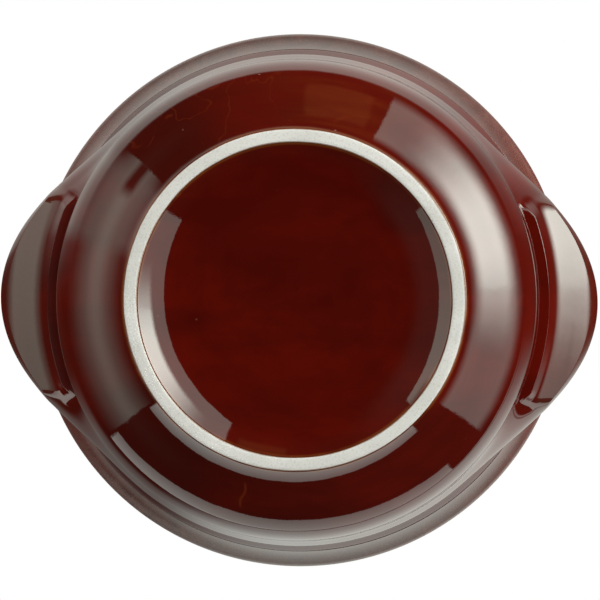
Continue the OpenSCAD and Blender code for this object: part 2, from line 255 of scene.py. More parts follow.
# Pairs of rows stand close together at the creases, so the shading stays crisp there.
below_fillet = fillet_start[1] - CREASE
underside = (
    [(float(radius_at(outside, below_fillet)), below_fillet)]
    + fillet
    + [fillet_end, (fillet_end[0] + CREASE, fillet_end[1] + LEDGE_START_TILT * CREASE)]
    + [p for p in ledge if ledge_from < p[0] < ledge_to]
    + [(ledge_end[0] - CREASE, ledge_end[1] - CREASE * LEDGE_END_TILT), ledge_end]
    + [(ledge_end[0] + CREASE, ledge_end[1] + CREASE * STEP_START_TILT)]
    + bend(ledge_end, STEP_START_SLOPE, step_end, STEP_END_SLOPE, RIB_STEPS)
    + bend(step_end, STEP_END_SLOPE, soft_start, SOFT_SLOPE, RIB_STEPS // 2)
    + bend(soft_start, SOFT_SLOPE, edge_under, UNDER_SLOPE, 2 * RIB_STEPS)
)
rib = np.array(
    underside
    + bend(edge_under, UNDER_SLOPE, HANDLE_EDGE, UPWARD, RIB_STEPS // 2)
    + bend(HANDLE_EDGE, UPWARD, edge_over, EDGE_OVER_SLOPE, RIB_STEPS // 2)
    + bend(edge_over, EDGE_OVER_SLOPE, handle_top, HANDLE_TOP_SLOPE, RIB_STEPS)
)
LEDGE_ROW = underside.index(ledge_end)
UNDER_ROW = len(underside) - 1
EDGE_ROW = UNDER_ROW + RIB_STEPS // 2
TOP_ROW = EDGE_ROW + RIB_STEPS // 2

# The bare ring's section: height at each distance out from its inner and its outer glaze line.
# Its two ends lie hidden behind the glaze.
RING_FROM_INNER = (
    (-0.35, FOOT_EDGE + 2.6), (-0.02, FOOT_EDGE + 0.02), (0.05, 0.16), (0.14, 0.06),
    (0.3, 0.0), (0.9, 0.0), (1.4, 0.0), (2.0, 0.0),
)
RING_FROM_OUTER = (
    (-0.3, 0.0), (-0.14, 0.06), (-0.05, 0.16), (0.02, FOOT_EDGE + 0.02), (1.6, 2.6),
)
ring_face = (
    [(ring_inner[0] + out, z) for out, z in RING_FROM_INNER]
    + [(FOOT_R + out, z) for out, z in RING_FROM_OUTER]
)


# Meshes


def wobble(x, y, z, seed, wave):
    """A slow, smooth unevenness made of a few waves, from -1 to 1."""
    draws = np.random.default_rng(seed)
    total = np.zeros_like(x)
    for _ in range(WAVES):
        k = draws.normal(size=3) / wave
        total += np.sin(k[0] * x + k[1] * y + k[2] * z + draws.uniform(0, 2 * math.pi))
    return total / WAVES


def mesh_piece(name, points, faces, material):
    """A smooth mesh object from points in millimetres."""
    mesh = bpy.data.meshes.new(name)
    mesh.from_pydata([tuple(p) for p in np.asarray(points) * MM], [], faces)
    mesh.validate()
    mesh.polygons.foreach_set("use_smooth", [True] * len(mesh.polygons))
    mesh.materials.append(material)
    mesh.update()
    piece = bpy.data.objects.new(name, mesh)
    bpy.context.scene.collection.objects.link(piece)
    return piece


def ring_grid(radius, height, closed):
    """Points and faces of a grid turned about Z from arrays of [row, column].

    Rows with zero radius become one pole point. closed joins the last row to the first.
    """
    rows, columns = radius.shape
    angle = np.linspace(0, 2 * math.pi, columns, endpoint=False)
    points, index = [], []
    for i in range(rows):
        if np.all(radius[i] == 0):
            index.append(np.full(columns, len(points)))
            points.append((0.0, 0.0, float(height[i, 0])))
            continue
        index.append(np.arange(columns) + len(points))
        points.extend(
            zip(radius[i] * np.cos(angle), radius[i] * np.sin(angle), height[i])
        )
    faces = []
    pairs = list(zip(range(rows - 1), range(1, rows))) + ([(rows - 1, 0)] if closed else [])
    for a, b in pairs:
        ia, ib = index[a], index[b]
        ja, jb = np.roll(ia, -1), np.roll(ib, -1)
        a_is_pole, b_is_pole = ia[0] == ia[1], ib[0] == ib[1]
        if a_is_pole and b_is_pole:
            continue
        if a_is_pole:
            corners = (ia, jb, ib)
        elif b_is_pole:
            corners = (ia, ja, ib)
        else:
            corners = (ia, ja, jb, ib)
        faces.extend(tuple(int(p) for p in face) for face in zip(*corners))
    return points, faces


def turned_piece(name, loop, material, uneven=0.0, seed=None):
    """A closed outline turned about Z.

    uneven is how far its radius swings, in millimetres at a radius of TURNED_UNEVEN_R.
    """
    loop = np.array(loop, float)
    radius = np.repeat(loop[:, :1], COLUMNS, axis=1)
    height = np.repeat(loop[:, 1:], COLUMNS, axis=1)
    if uneven:
        angle = np.linspace(0, 2 * math.pi, COLUMNS, endpoint=False)[None, :]
        x, y = radius * np.cos(angle), radius * np.sin(angle)
        swing = wobble(x, y, height, seed, TURNED_WAVE)
        radius = radius * (1 + uneven / TURNED_UNEVEN_R * swing)
    pole_start = loop[0, 0] == 0 and loop[-1, 0] == 0
    points, faces = ring_grid(radius, height, closed=not pole_start)
    return mesh_piece(name, points, faces, material)


def coat_loop(path):
    """A coat's closed outline: the glazed face, then its back towards the clay."""
    face = np.array(path, float)
    back = offset(path, COAT)[::-1]
    if face[0, 0] == 0:
        back[-1, 0] = 0
    if face[-1, 0] == 0:
        back[0, 0] = 0
    return np.concatenate([face, back])


def off_handle(angle_degrees):
    """Degrees between each angle and the middle of the nearer handle."""
    return np.abs((angle_degrees + 90) % 180 - 90)


def swell(angle_degrees):
    """How far a handle stands out at an angle, as a share of its reach at the middle."""
    d = off_handle(angle_degrees)
    s = (1 + np.cos(np.pi * np.minimum(d, HANDLE_HALF_ANGLE) / HANDLE_HALF_ANGLE)) / 2
    return s**SWELL_POWER


def smooth_step(value, low, high):
    """Nought below low, one above high, and a smooth rise between them."""
    t = np.clip((value - low) / (high - low), 0, 1)
    return t * t * (3 - 2 * t)


def handle_surface(angle_degrees):
    """Radius and height of a handle's rows at each angle.

    The underside is a turned surface that the outline cuts short, and the outer edge drops with
    it. Towards the ends the section turns into a flank that swells out of the wall.
    """
    x, z = rib[:, :1], rib[:, 1:]
    row = np.arange(len(rib))[:, None]
    share = swell(angle_degrees)[None, :]
    wall_here = radius_at(outside, z)
    out = x - wall_here
    reach = out.max()
    power = 1 / np.maximum(share, SMALLEST_SHARE)
    kept = reach * share * (1 - np.clip(1 - out / reach, 0, 1) ** power)

    # The rounded edge keeps most of its width towards the ends.
    under_out = out[UNDER_ROW, 0]
    edge_width = np.minimum((reach - under_out) * share**EDGE_POWER, reach * share / 2)
    under_share = np.maximum((reach * share - edge_width) / under_out, SMALLEST_SHARE)
    under_lost = np.clip(1 - out / under_out, 0, 1) ** (1 / under_share)
    under_kept = under_out * under_share * (1 - under_lost)
    edge_kept = reach * share - edge_width * (reach - out) / (reach - under_out)
    kept = np.where(row <= UNDER_ROW, under_kept, np.where(row <= EDGE_ROW, edge_kept, kept))

    under = rib[: UNDER_ROW + 1]
    cut_z = np.interp(wall_here + kept, under[:, 0], under[:, 1])
    last = len(rib) - 1
    drop_share = np.where(row <= TOP_ROW, 1, (last - row) / (last - TOP_ROW))
    drop = under[-1, 1] - cut_z[UNDER_ROW]
    above_under = row > UNDER_ROW
    cut_z = np.where(above_under, z - drop_share * drop[None, :], cut_z)
    shift = wall_here - radius_at(outside, cut_z)
    cut_out = kept + shift * np.where(above_under, drop_share, 1)

    # On the flank the ledge narrows to nearly nothing, as its step runs into the wall.
    low, edge, top = z[0, 0], z[EDGE_ROW, 0], z[last, 0]
    ledge_up = LEDGE_END_SHARE * LEDGE_ROW / EDGE_ROW
    up = np.interp(row, [0, LEDGE_ROW, EDGE_ROW], [0, ledge_up, 1])
    over = BELLY[1] + (z - edge) * (top - BELLY[1]) / (top - edge)
    flank_z = np.where(row <= EDGE_ROW, low + (BELLY[1] - low) * up, over)
    rise = np.sin(np.pi / 2 * up)
    flank_out = np.where(row <= EDGE_ROW, out[EDGE_ROW, 0] * rise, out) * share
    aside = off_handle(angle_degrees)[None, :] / HANDLE_HALF_ANGLE
    flank = smooth_step(aside, FLANK_START_SHARE, FLANK_END_SHARE)

    height = cut_z + (flank_z - cut_z) * flank
    return radius_at(outside, height) + cut_out + (flank_out - cut_out) * flank, height


def outer_coat(name, material):
    """The outside wall's coat and both handles as one skin, with fillets at their roots."""
    angle = np.linspace(0, 360, COLUMNS, endpoint=False)
    level = np.ones((1, COLUMNS))
    handle_from = fillet_start[1] - GAP_BELOW_HANDLE
    handle_to = HANDLE_TOP_Z + GAP_ABOVE_HANDLE
    below = np.array([p for p in outside if p[1] < handle_from])
    above = np.array([p for p in outside if p[1] > handle_to])
    handle_radius, handle_height = handle_surface(angle)
    radius = np.concatenate([below[:, :1] * level, handle_radius[:-1], above[:, :1] * level])
    height = np.concatenate([below[:, 1:] * level, handle_height[:-1], above[:, 1:] * level])

    # The wall is uneven, but not where it meets the bare ring and the rim band.
    a = np.radians(angle)[None, :]
    x, y = radius * np.cos(a), radius * np.sin(a)
    foot_fade = np.clip((height - FOOT_EDGE) / FOOT_FADE, 0, 1)
    band_fade = np.clip((BAND[1] - height) / BAND_FADE, 0, 1)
    swing = wobble(x, y, height, WALL_SEED, WALL_WAVE)
    radius = radius + WALL_UNEVEN * (foot_fade * band_fade) * swing

    # The coat's back lies by the clay wall and is plain under the handles.
    back = offset(outside, COAT)[::-1]
    radius = np.concatenate([radius, back[:, :1] * level])
    height = np.concatenate([height, back[:, 1:] * level])
    points, faces = ring_grid(radius, height, closed=True)
    return mesh_piece(name, points, faces, material)


# Node helpers

FLOAT, VECTOR = "NodeSocketFloat", "NodeSocketVector"
MIX_FACTOR, MIX_A, MIX_B, MIX_RESULT = 0, 6, 7, 2


def socket_value(node, name, value):
    """Sets an input by name or position, or links it when value is a socket."""
    target = node.inputs[name]
    if isinstance(value, bpy.types.NodeSocket):
        node.id_data.links.new(value, target)
    else:
        target.default_value = value


def place(tree, kind, settings=None, **inputs):
    """Adds a node. Underscores in input names stand for spaces; in0 means input 0."""
    node = tree.nodes.new(kind)
    for key, value in (settings or {}).items():
        setattr(node, key, value)
    for key, value in inputs.items():
        name = int(key[2:]) if key[:2] == "in" and key[2:].isdigit() else key.replace("_", " ")
        socket_value(node, name, value)
    return node


def maths(tree, operation, a, b=0.0, c=0.0, clamp=False):
    """One math node's result. Operations with fewer inputs leave out c, or b and c."""
    settings = {"operation": operation, "use_clamp": clamp}
    return place(tree, "ShaderNodeMath", settings, in0=a, in1=b, in2=c).outputs[0]


def plus(tree, a, b, clamp=False):
    return maths(tree, "ADD", a, b, clamp=clamp)


def times(tree, *factors):
    """The product of two or more values, taken from the left."""
    product = factors[0]
    for factor in factors[1:]:
        product = maths(tree, "MULTIPLY", product, factor)
    return product


def distance(tree, value, centre):
    """How far a value lies from a centre, on either side."""
    return maths(tree, "ABSOLUTE", maths(tree, "SUBTRACT", value, centre))


def vector_maths(tree, operation, a, b):
    node = place(tree, "ShaderNodeVectorMath", {"operation": operation}, in0=a, in1=b)
    return node.outputs[0]


def ramp(tree, value, low, high, to_low=0.0, to_high=1.0):
    """A smooth step from one level to another as value goes from low to high."""
    node = place(
        tree, "ShaderNodeMapRange", {"interpolation_type": "SMOOTHSTEP"},
        Value=value, From_Min=low, From_Max=high, To_Min=to_low, To_Max=to_high,
    )
    return node.outputs["Result"]


def ring_ramp(tree, value, low, high, blur):
    """One inside a range of values and nought outside it, with soft ends."""
    return times(
        tree,
        ramp(tree, value, low - blur, low + blur),
        ramp(tree, value, high - blur, high + blur, 1.0, 0.0),
    )


def mix_colour(tree, factor, a, b):
    """A blend from colour a to colour b. Each is a socket, or a tuple of red, green and blue."""
    node = place(tree, "ShaderNodeMix", {"data_type": "RGBA", "blend_type": "MIX"})
    socket_value(node, MIX_FACTOR, factor)
    for socket, colour in ((MIX_A, a), (MIX_B, b)):
        socket_value(node, socket, (*colour, 1) if isinstance(colour, tuple) else colour)
    return node.outputs[MIX_RESULT]


def noise(tree, vector, scale, detail, rough, distortion=0.0):
    """A cloudy value on both sides of a half. It is finer with a larger scale."""
    node = place(
        tree, "ShaderNodeTexNoise", Vector=vector, Scale=scale, Detail=detail,
        Roughness=rough, Distortion=distortion,
    )
    return node.outputs["Fac"]


def group(name, inputs, outputs):
    """An empty shader node group with named sockets, and its two end nodes."""
    tree = bpy.data.node_groups.new(name, "ShaderNodeTree")
    for label, kind in inputs:
        tree.interface.new_socket(label, in_out="INPUT", socket_type=kind)
    for label, kind in outputs:
        tree.interface.new_socket(label, in_out="OUTPUT", socket_type=kind)
    return tree, tree.nodes.new("NodeGroupInput"), tree.nodes.new("NodeGroupOutput")


def use_group(tree, grouped, **inputs):
    """Adds a node for a group. Underscores in input names stand for spaces."""
    node = tree.nodes.new("ShaderNodeGroup")
    node.node_tree = grouped
    for key, value in inputs.items():
        socket_value(node, key.replace("_", " "), value)
    return node


# Glazes and clay

# Colours.
DEEP_RED = (0.062, 0.0032, 0.0014)
WARM_RED = (0.092, 0.0042, 0.0016)
LINE_ORANGE = (0.150, 0.036, 0.007)
# Darker red, painted on the wall as shade on two sides.
PAINTED_SHADE_RED = (0.040, 0.0025, 0.0012)
BAND_ORANGE = (0.130, 0.016, 0.003)
THIN_BROWN = (0.070, 0.018, 0.011)
PINHOLE_BROWN = (0.11, 0.035, 0.02)
RIM_DARK = (0.048, 0.012, 0.008)
RIM_PALE = (0.094, 0.034, 0.024)
RIM_RED = (0.105, 0.015, 0.008)
CLAY_GREY = (0.63, 0.63, 0.57)
CLAY_PALE = (0.74, 0.74, 0.68)
CLAY_GRAIN = (0.40, 0.38, 0.33)
CLAY_STAIN = (0.20, 0.085, 0.035)
# The darkest brush bands have this share of the deep red.
SHADE_DEPTH = 0.7

# Ranges of turn in degrees. A third number is how soft the range's ends are.
# The first pair of turns is where the wall's red is darkened as painted shade.
PAINTED_SHADE_TURNS = ((112.0, 150.0, 10.0), (-146.0, -114.0, 12.0))
ORANGE_TURNS = (-142.0, -62.0, 8.0)
ORANGE_RISE_TURNS = (-104.0, -80.0)

# The one long run of glaze: its turn, how it winds, where its sides fade in degrees from its
# middle, and the radii that it lies between.
DRIP_TURN = 104.0
DRIP_WINDING = 1.3
DRIP_SWING = 0.35
DRIP_HALF_WIDTH = (0.15, 0.6)
DRIP_RADII = (43.0, 48.5, 0.8)

# Ranges of radius in millimetres. A third number is how soft the range's ends are.
OUTER_LINE_RADII = (38.3, 39.0, 0.3)
INNER_LINE_RADII = (35.0, 35.5, 0.25)
THIN_RADII = (61.2, 69.6, 1.5)
ROUGHER_RADII = (59.5, 63.0)
RIM_MATT_RADII = (60.8, 64.2)

WALL_ROUGHNESS = 0.022
HANDLE_ROUGHNESS = 0.07
RIM_ROUGHNESS = 0.13
CLAY_ROUGHNESS = 0.8
GLAZE_IOR = 1.6
GLAZE_BUMP = 0.00004
CLAY_BUMP = 0.00008

STAIN_INSIDE = FOOT_R - FOOT_FACE + 0.05
STAIN_OUTSIDE = FOOT_R - 0.03
STAIN_INSIDE_WIDTH = 0.16
STAIN_OUTSIDE_WIDTH = 0.18
STAIN_WANDER = 0.12
STAIN_DEPTH = 0.8

# Keeps the turn's two coordinates finite on the axis.
AXIS_GUARD = 0.0005
STRIP_SCALE = 120.0
# Moves the textures off the origin, and squeezes the clouds across the crock.
TEXTURE_SHIFT = 0.13
CLOUD_SQUEEZE = (1.0, 2.6, 1.0)
# Cells with a random value above this have a pinhole.
PINHOLE_FROM = 0.88


def build_turned_place():
    """Radius in millimetres and turn in degrees of a point, and a strip to lay textures on."""
    tree, start, end = group(
        "turned_place",
        [("Place", VECTOR)],
        [("Radius", FLOAT), ("Turn", FLOAT), ("Strip", VECTOR)],
    )
    x, y, z = place(tree, "ShaderNodeSeparateXYZ", Vector=start.outputs["Place"]).outputs
    flat = maths(tree, "SQRT", plus(tree, times(tree, x, x), times(tree, y, y)))
    # The turn as two coordinates, so that a texture along it has no seam.
    strip = place(
        tree, "ShaderNodeCombineXYZ",
        X=maths(tree, "DIVIDE", x, plus(tree, flat, AXIS_GUARD)),
        Y=maths(tree, "DIVIDE", y, plus(tree, flat, AXIS_GUARD)),
        Z=times(tree, plus(tree, flat, z), STRIP_SCALE),
    )
    turn = times(tree, maths(tree, "ARCTAN2", y, x), 180 / math.pi)
    tree.links.new(times(tree, flat, 1 / MM), end.inputs["Radius"])
    tree.links.new(turn, end.inputs["Turn"])
    tree.links.new(strip.outputs[0], end.inputs["Strip"])
    return tree


def build_glaze_mottle():
    """Clouds, brush bands, specks and pinholes of a thick fired glaze."""
    tree, start, end = group(
        "glaze_mottle",
        [("Place", VECTOR), ("Strip", VECTOR), ("Seed", FLOAT)],
        [("Clouds", FLOAT), ("Bands", FLOAT), ("Specks", FLOAT), ("Pinholes", FLOAT)],
    )
    shift = place(
        tree, "ShaderNodeCombineXYZ", X=start.outputs["Seed"], Y=TEXTURE_SHIFT, Z=0.0,
    )
    moved = vector_maths(tree, "ADD", start.outputs["Place"], shift.outputs[0])
    # Clouds lie in bands across the crock, as the glaze ran when it was dipped.
    flattened = vector_maths(tree, "MULTIPLY", moved, CLOUD_SQUEEZE)
    clouds = noise(tree, flattened, scale=30.0, detail=4.0, rough=0.55, distortion=0.4)
    bands = noise(
        tree, start.outputs["Strip"], scale=2.2, detail=5.0, rough=0.62, distortion=0.25,
    )
    specks = noise(tree, moved, scale=900.0, detail=2.0, rough=0.6)
    # A pinhole is a dot at the middle of a cell.
    cells = place(tree, "ShaderNodeTexVoronoi", Vector=moved, Scale=230.0)
    sparse = place(tree, "ShaderNodeSeparateColor", Color=cells.outputs["Color"]).outputs["Red"]
    dot = ramp(tree, cells.outputs["Distance"], 0.03, 0.08, to_low=1.0, to_high=0.0)
    pinholes = times(tree, dot, maths(tree, "GREATER_THAN", sparse, PINHOLE_FROM))
    tree.links.new(ramp(tree, clouds, 0.33, 0.68), end.inputs["Clouds"])
    tree.links.new(ramp(tree, bands, 0.36, 0.70), end.inputs["Bands"])
    tree.links.new(ramp(tree, specks, 0.35, 0.7), end.inputs["Specks"])
    tree.links.new(pinholes, end.inputs["Pinholes"])
    return tree


turned_place = build_turned_place()
glaze_mottle = build_glaze_mottle()


def new_material(name):
    """A material with one Principled shader, and the object's own coordinates."""
    material = bpy.data.materials.new(name)
    material.use_nodes = True
    tree = material.node_tree
    tree.nodes.clear()
    shader = tree.nodes.new("ShaderNodeBsdfPrincipled")
    output = tree.nodes.new("ShaderNodeOutputMaterial")
    tree.links.new(shader.outputs[0], output.inputs["Surface"])
    where = tree.nodes.new("ShaderNodeTexCoord").outputs["Object"]
    return material, tree, shader, where


def spot_and_mottle(tree, where, seed):
    """The outputs of the two shared groups at a place."""
    spot = use_group(tree, turned_place, Place=where).outputs
    mottle = use_group(tree, glaze_mottle, Place=where, Strip=spot["Strip"], Seed=seed)
    return spot, mottle.outputs


def gloss_and_bump(tree, shader, where, mottle, roughness, waviness):
    """Roughness with a fine grain, and the slow waves and pinholes of the glaze's skin."""
    holes = mottle["Pinholes"]
    grain = ramp(tree, mottle["Specks"], 0.0, 1.0, to_low=-0.01, to_high=0.012)
    gloss = plus(tree, plus(tree, roughness, grain), times(tree, holes, 0.2))
    tree.links.new(gloss, shader.inputs["Roughness"])
    shader.inputs["IOR"].default_value = GLAZE_IOR
    waves = times(tree, noise(tree, where, scale=75.0, detail=2.0, rough=0.5), waviness)
    fine = times(tree, noise(tree, where, scale=420.0, detail=3.0, rough=0.6), 0.35)
    height = maths(tree, "SUBTRACT", plus(tree, waves, fine), times(tree, holes, 0.8))
    bump = place(tree, "ShaderNodeBump", Strength=0.5, Distance=GLAZE_BUMP, Height=height)
    tree.links.new(bump.outputs[0], shader.inputs["Normal"])


def wall_runs(tree, where, spot, mottle, colour, warm_side):
    """The wall's painted shade on two sides, its orange brush bands, thin veins and one long run
    of glaze.
    """
    radius, turn = spot["Radius"], spot["Turn"]
    # Painted shade: the red darkens over two ranges of turn, where less lamp light falls.
    painted_shade = plus(tree, *(ring_ramp(tree, turn, *turns) for turns in PAINTED_SHADE_TURNS))
    colour = mix_colour(tree, times(tree, painted_shade, 0.85), colour, PAINTED_SHADE_RED)

    near_top = times(tree, ring_ramp(tree, turn, *ORANGE_TURNS), warm_side)
    more = ramp(tree, turn, *ORANGE_RISE_TURNS, to_low=0.1, to_high=1.0)
    orange = times(tree, near_top, mottle["Bands"], more)
    colour = mix_colour(tree, orange, colour, BAND_ORANGE)

    # A vein runs where a noise crosses one level.
    level = noise(tree, where, scale=55.0, detail=3.0, rough=0.5, distortion=0.6)
    vein = ramp(tree, distance(tree, level, 0.47), 0.002, 0.009, to_low=1.0, to_high=0.0)
    veins = times(tree, vein, times(tree, near_top, 0.8))
    veins = times(tree, veins, ramp(tree, mottle["Clouds"], 0.55, 0.8))

    winding = maths(tree, "SINE", times(tree, radius, DRIP_WINDING))
    off_drip = plus(
        tree, maths(tree, "SUBTRACT", turn, DRIP_TURN), times(tree, winding, DRIP_SWING),
    )
    off_drip = maths(tree, "ABSOLUTE", off_drip)
    drip = ramp(tree, off_drip, *DRIP_HALF_WIDTH, to_low=0.8, to_high=0.0)
    drip = times(tree, drip, ring_ramp(tree, radius, *DRIP_RADII))
    return mix_colour(tree, maths(tree, "MAXIMUM", veins, drip), colour, BAND_ORANGE)


def red_glaze(name, seed, ring_shade, warm_side=0.0):
    """Glossy red glaze with brown where it runs thin, at the outside of the handles.

    ring_shade is how much its brush bands darken it, and warm_side how much orange the wall's
    bands show on the -Y side. Only the wall's glaze has a warm side.
    """
    material, tree, shader, where = new_material(name)
    spot, mottle = spot_and_mottle(tree, where, seed)
    radius = spot["Radius"]
    colour = mix_colour(tree, mottle["Clouds"], DEEP_RED, WARM_RED)
    shade = times(tree, mottle["Bands"], ring_shade)
    colour = mix_colour(tree, shade, colour, tuple(c * SHADE_DEPTH for c in DEEP_RED))
    if warm_side:
        colour = wall_runs(tree, where, spot, mottle, colour, warm_side)

    # It breaks to orange where it stops short of the bare ring.
    lines = plus(
        tree, ring_ramp(tree, radius, *OUTER_LINE_RADII),
        ring_ramp(tree, radius, *INNER_LINE_RADII),
    )
    broken = ramp(tree, mottle["Clouds"], 0.1, 0.7, to_low=0.25, to_high=0.9)
    colour = mix_colour(tree, times(tree, lines, broken), colour, LINE_ORANGE)

    thin = times(tree, ring_ramp(tree, radius, *THIN_RADII), 0.75)
    thin = times(tree, thin, ramp(tree, mottle["Specks"], 0.0, 1.0, to_low=0.75, to_high=1.0))
    colour = mix_colour(tree, thin, colour, THIN_BROWN)
    colour = mix_colour(tree, mottle["Pinholes"], colour, PINHOLE_BROWN)
    tree.links.new(colour, shader.inputs["Base Color"])
    rough = ramp(tree, radius, *ROUGHER_RADII, to_low=WALL_ROUGHNESS, to_high=HANDLE_ROUGHNESS)
    gloss_and_bump(tree, shader, where, mottle, rough, waviness=3.5)
    return material


def rim_brown_glaze(name):
    """Thin glaze over the rim band: mottled brown, and nearly matt towards the edge."""
    material, tree, shader, where = new_material(name)
    spot, mottle = spot_and_mottle(tree, where, 0.3)
    blotches = noise(tree, where, scale=170.0, detail=6.0, rough=0.7, distortion=0.8)
    blotches = ramp(tree, blotches, 0.34, 0.68)
    colour = mix_colour(tree, blotches, RIM_DARK, RIM_PALE)
    # Redder where the rim passes over the handles.
    x_share = place(tree, "ShaderNodeSeparateXYZ", Vector=spot["Strip"]).outputs["X"]
    by_handle = ramp(tree, maths(tree, "ABSOLUTE", x_share), 0.50, 0.95, to_high=0.8)
    colour = mix_colour(tree, by_handle, colour, RIM_RED)
    colour = mix_colour(tree, times(tree, mottle["Specks"], 0.35), colour, RIM_DARK)
    tree.links.new(colour, shader.inputs["Base Color"])
    edge = ramp(tree, spot["Radius"], *RIM_MATT_RADII)
    rough = plus(tree, times(tree, edge, 0.24), times(tree, blotches, 0.06))
    rough = plus(tree, rough, RIM_ROUGHNESS)
    gloss_and_bump(tree, shader, where, mottle, rough, waviness=2.0)
    return material


def bare_stoneware(name):
    """Pale bare clay with fine grain, and a thin stain where it meets the glaze."""
    material, tree, shader, where = new_material(name)
    spot, mottle = spot_and_mottle(tree, where, 0.7)
    colour = mix_colour(tree, mottle["Clouds"], CLAY_GREY, CLAY_PALE)
    grain = noise(tree, where, scale=2100.0, detail=3.0, rough=0.7)
    colour = mix_colour(tree, ramp(tree, grain, 0.5, 0.72, to_high=0.55), colour, CLAY_GRAIN)
    # The stain's width wanders, so the glaze line looks cut by hand.
    wander = noise(tree, where, scale=45.0, detail=4.0, rough=0.6)
    wander = ramp(tree, wander, 0.3, 0.7, to_low=-STAIN_WANDER, to_high=STAIN_WANDER)
    radius = plus(tree, spot["Radius"], wander)
    inner_end = STAIN_INSIDE + STAIN_INSIDE_WIDTH
    outer_start = STAIN_OUTSIDE - STAIN_OUTSIDE_WIDTH
    stain = plus(
        tree,
        ramp(tree, radius, STAIN_INSIDE, inner_end, to_low=STAIN_DEPTH, to_high=0.0),
        ramp(tree, radius, outer_start, STAIN_OUTSIDE, to_low=0.0, to_high=STAIN_DEPTH),
        clamp=True,
    )
    colour = mix_colour(tree, stain, colour, CLAY_STAIN)
    tree.links.new(colour, shader.inputs["Base Color"])
    shader.inputs["Roughness"].default_value = CLAY_ROUGHNESS
    bump = place(tree, "ShaderNodeBump", Strength=0.8, Distance=CLAY_BUMP, Height=grain)
    tree.links.new(bump.outputs[0], shader.inputs["Normal"])
    return material


wall_glaze = red_glaze("wall_glaze", 0.0, ring_shade=0.3, warm_side=0.45)
rim_band_glaze = rim_brown_glaze("rim_band_glaze")
inside_glaze = red_glaze("inside_glaze", 0.5, ring_shade=0.4)
recess_glaze = red_glaze("recess_glaze", 0.9, ring_shade=0.25)
bisque = bare_stoneware("bare_stoneware")


# Pieces

outer = outer_coat("wall_and_handle_glaze", wall_glaze)
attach(outer, "root")
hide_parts("outer_glaze", "handle_glaze_left", "handle_glaze_right")

rim = turned_piece("rim_coat", coat_loop(over_rim), rim_band_glaze, uneven=0.02, seed=5)
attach(rim, "root")
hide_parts("rim_glaze")

inner = turned_piece("inside_coat", coat_loop(inside), inside_glaze, uneven=0.03, seed=6)
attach(inner, "root")
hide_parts("inner_glaze")

base = turned_piece("recess_coat", coat_loop(recess), recess_glaze)
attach(base, "root")
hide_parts("base_glaze")

ring = turned_piece("bare_foot_ring", ring_face, bisque)
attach(ring, "root")
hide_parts("foot_ring")

for node_name in ("bowl_body", "rim_band", "handle_left", "handle_right"):
    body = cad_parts[node_name]
    body.data.materials.clear()
    body.data.materials.append(bisque)


# Floor

STAGE_GREY = (0.86, 0.86, 0.86, 1)
STAGE_ROUGHNESS = 0.9
STAGE_HALF = 3000.0
STAGE_DROP = 0.3


def build_floor():
    """A pale floor that shows from above only, and that lets light through to the underside."""
    material, tree, shader, _ = new_material("pale_floor")
    shader.inputs["Base Color"].default_value = STAGE_GREY
    shader.inputs["Roughness"].default_value = STAGE_ROUGHNESS
    through = tree.nodes.new("ShaderNodeBsdfTransparent")
    geometry = tree.nodes.new("ShaderNodeNewGeometry")
    mixer = tree.nodes.new("ShaderNodeMixShader")
    tree.links.new(geometry.outputs["Backfacing"], mixer.inputs[0])
    tree.links.new(shader.outputs[0], mixer.inputs[1])
    tree.links.new(through.outputs[0], mixer.inputs[2])
    tree.links.new(mixer.outputs[0], tree.nodes["Material Output"].inputs["Surface"])
    signs = ((-1, -1), (1, -1), (1, 1), (-1, 1))
    corners = [(x * STAGE_HALF, y * STAGE_HALF, -STAGE_DROP) for x, y in signs]
    floor = mesh_piece("floor", corners, [(0, 1, 2, 3)], material)
    floor.visible_diffuse = False
    floor.visible_glossy = False
    floor.visible_transmission = False
    floor.visible_shadow = False


build_floor()


# Studio

COOL_WHITE = (0.93, 1.0, 0.91)
BLUE_WHITE = (0.84, 0.97, 0.84)
WALL_WHITE = (0.95, 0.99, 0.92)
TABLE_BROWN = (0.60, 0.20, 0.05)
ROOM_WARM = (1.0, 0.8, 0.6)
SHADE_WARM = (1.0, 0.9, 0.8)
AMBIENT = 0.385
NARROWEST_COSINE = 0.05


def build_soft_box():
    """How much of an upright soft box a ray meets, from its turn and its angle from straight down.

    Its sides are upright, and its near end is level, so it bends away from the middle.
    """
    labels = (
        "Turn", "Down", "Middle", "Half", "Near", "Far", "Side Blur", "Near Blur", "Far Blur",
    )
    tree, start, end = group(
        "soft_box", [(label, FLOAT) for label in labels], [("Amount", FLOAT), ("Aside", FLOAT)],
    )
    s = start.outputs
    turned = maths(tree, "SUBTRACT", s["Turn"], s["Middle"])
    aside = maths(tree, "WRAP", turned, 180.0, -180.0)
    away = maths(tree, "COSINE", maths(tree, "RADIANS", aside))
    away = maths(tree, "MAXIMUM", away, NARROWEST_COSINE)
    near = maths(tree, "RADIANS", s["Near"])
    level = times(tree, maths(tree, "COSINE", near), away)
    near_here = maths(tree, "DEGREES", maths(tree, "ARCTAN2", maths(tree, "SINE", near), level))

    def soft_step(value, blur, levels):
        low = times(tree, s[blur], -1.0)
        return ramp(tree, value, low, s[blur], *levels)

    rising, falling = (0.0, 1.0), (1.0, 0.0)
    off_side = maths(tree, "SUBTRACT", maths(tree, "ABSOLUTE", aside), s["Half"])
    past_near = maths(tree, "SUBTRACT", s["Down"], near_here)
    past_far = maths(tree, "SUBTRACT", s["Down"], s["Far"])
    ends = times(
        tree, soft_step(past_near, "Near Blur", rising), soft_step(past_far, "Far Blur", falling),
    )
    amount = times(tree, soft_step(off_side, "Side Blur", falling), ends)
    tree.links.new(amount, end.inputs["Amount"])
    tree.links.new(aside, end.inputs["Aside"])
    return tree


